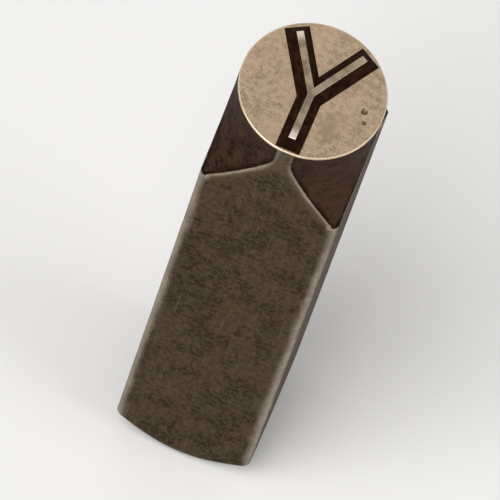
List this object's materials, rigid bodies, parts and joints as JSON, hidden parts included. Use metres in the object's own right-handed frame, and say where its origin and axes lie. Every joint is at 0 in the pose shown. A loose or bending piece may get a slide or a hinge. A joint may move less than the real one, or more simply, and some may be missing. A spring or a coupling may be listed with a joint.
{
  "type": "steel letter punch",
  "caption": "Square steel hand punch with a round face that carries a raised mirror-image letter, a turned tip that flares out to the bar's corners, and a chamfered struck end.",
  "frame": {"origin": "middle of the flat struck end, on the punch's own axis", "axes": "+Z along the punch from the struck end to the letter; the letter's foot points to -Y and its arms open to +Y; +X is to the right when the foot faces the viewer"},
  "size_m": [0.012, 0.012, 0.06],
  "materials": {
    "tool_steel": "dark brown oxide on the bar and turned tip, lighter tan ground face and letter crest, worn brighter along the edges"
  },
  "bodies": {
    "root": {"letter_punch": "tool_steel"}
  },
  "joints": []
}
